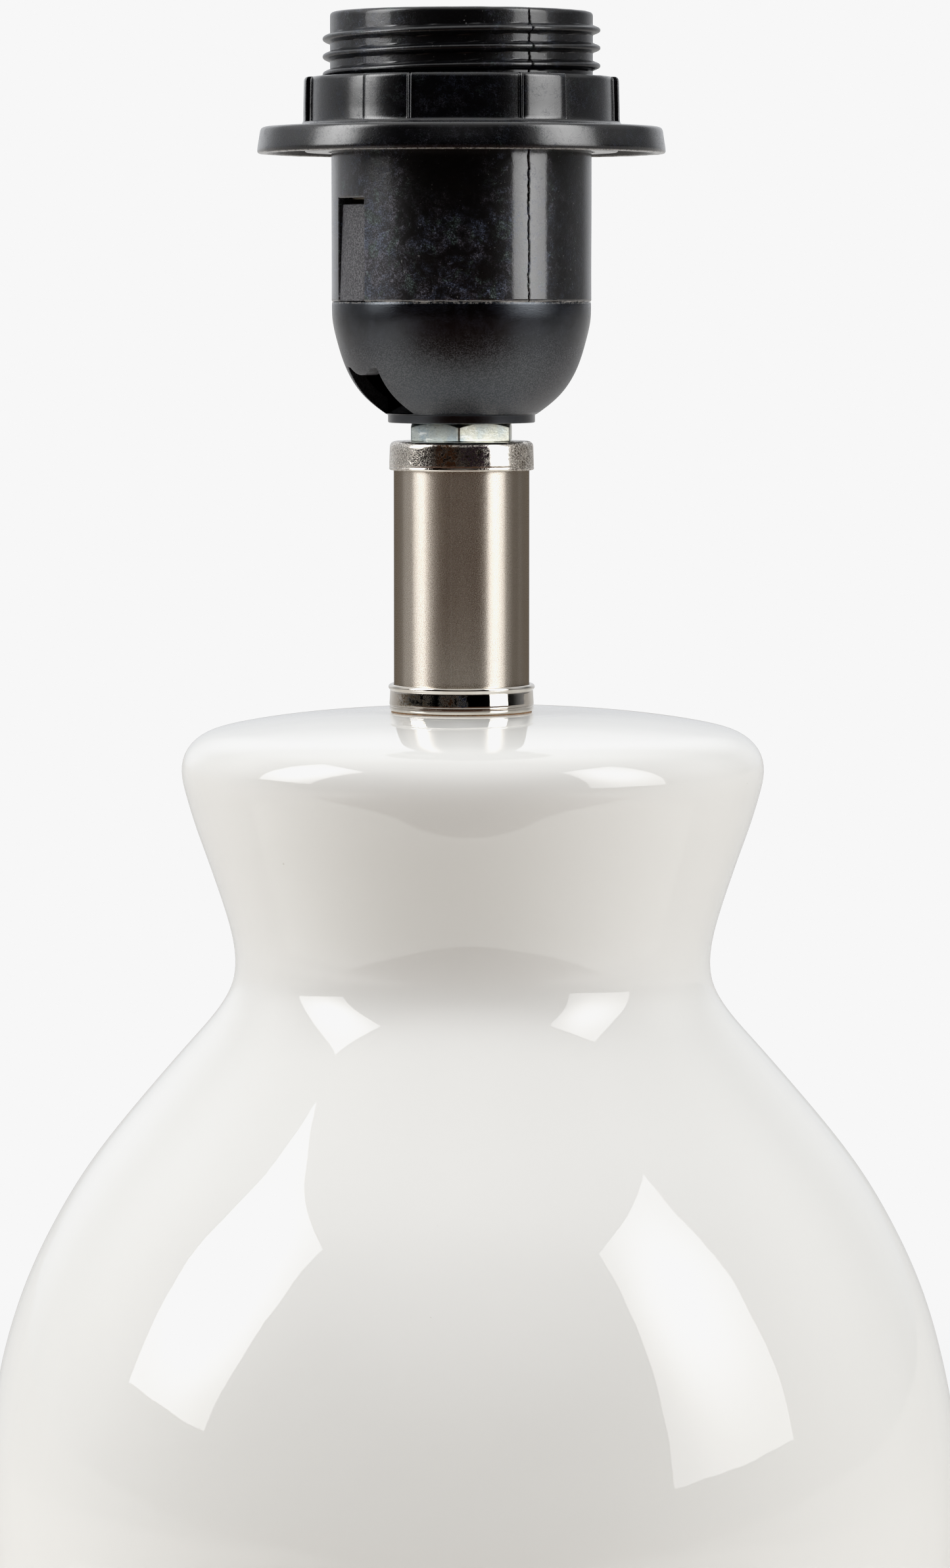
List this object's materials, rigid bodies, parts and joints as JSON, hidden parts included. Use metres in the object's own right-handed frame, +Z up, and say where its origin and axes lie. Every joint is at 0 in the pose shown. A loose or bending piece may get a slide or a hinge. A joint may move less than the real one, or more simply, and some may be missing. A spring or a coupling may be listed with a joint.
{
  "type": "table lamp",
  "caption": "Table lamp base: glossy off-white ceramic vase body with a waisted collar, plated metal neck and a black threaded lampholder with a shade ring, ready for a screw lamp and a shade.",
  "frame": {"origin": "on the table, under the middle of the ceramic foot", "axes": "+Z up, -Y towards the viewer of the lamp's front, +X to the viewer's right; the cord inlet is at +Y"},
  "size_m": [0.14, 0.14, 0.3099],
  "materials": {
    "glaze": "glossy off-white transparent-over-white glaze",
    "felt": "dark pressed felt",
    "grommet": "white soft plastic",
    "holder_plastic": "black moulded thermoplastic, satin gloss with mottled sheen",
    "holder_dome_plastic": "black moulded thermoplastic, duller satin",
    "insert_plastic": "natural glass-filled thermoset",
    "satin_nickel": "satin nickel plated tube, fine circumferential brushing",
    "bright_nickel": "bright nickel plate, a little worn",
    "zinc_plate": "zinc plated steel with a pale bluish-yellow passivate",
    "steel": "plain zinc plated steel",
    "rubber": "black rubber",
    "fibre": "brown vulcanised fibre",
    "brass": "plain brass",
    "contact_bronze": "spring bronze",
    "plated_shell": "nickel-washed rolled sheet",
    "bush_plastic": "white plastic"
  },
  "bodies": {
    "root": {"ceramic_body": "glaze", "foot_felt_ring": "felt", "cord_grommet": "grommet", "neck_rod": "steel", "inner_rubber_washer": "rubber", "inner_steel_washer": "steel", "inner_lock_nut": "zinc_plate", "rod_end_bush": "bush_plastic", "neck_gasket": "fibre", "lower_ferrule": "bright_nickel", "neck_tube": "satin_nickel", "upper_ferrule": "bright_nickel", "holder_lock_nut": "zinc_plate", "holder_dome": "holder_dome_plastic", "rod_grub_screw": "steel", "holder_shell": "holder_plastic", "contact_insert": "insert_plastic", "lamp_thread_shell": "plated_shell", "live_terminal": "brass", "neutral_terminal": "brass", "terminal_screws": "zinc_plate"},
    "shade_ring_body": {"shade_ring": "holder_plastic"},
    "latch_front_body": {"latch_tab_front": "holder_dome_plastic"},
    "latch_rear_body": {"latch_tab_rear": "holder_dome_plastic"},
    "centre_contact_body": {"centre_contact": "contact_bronze"}
  },
  "joints": [
    {"name": "shade_ring_turn", "type": "hinge", "parent": "root", "child": "shade_ring_body", "pos_m": [-0.00158, 0, 0.2954], "axis": [0, 0, 1], "range_deg": [0, 1260]},
    {"name": "latch_front_press", "type": "hinge", "parent": "root", "child": "latch_front_body", "pos_m": [-0.01645, -0.00904, 0.2696], "axis": [-0.5195, 0.8545, 0], "range_deg": [0, 6], "stiffness_Nm_per_rad": 2},
    {"name": "latch_rear_press", "type": "hinge", "parent": "root", "child": "latch_rear_body", "pos_m": [0.01329, 0.00904, 0.2696], "axis": [0.5195, -0.8545, 0], "range_deg": [0, 6], "stiffness_Nm_per_rad": 2},
    {"name": "centre_contact_press", "type": "hinge", "parent": "root", "child": "centre_contact_body", "pos_m": [-0.01158, 0, 0.28375], "axis": [0, 1, 0], "range_deg": [0, 7], "stiffness_Nm_per_rad": 0.6}
  ]
}
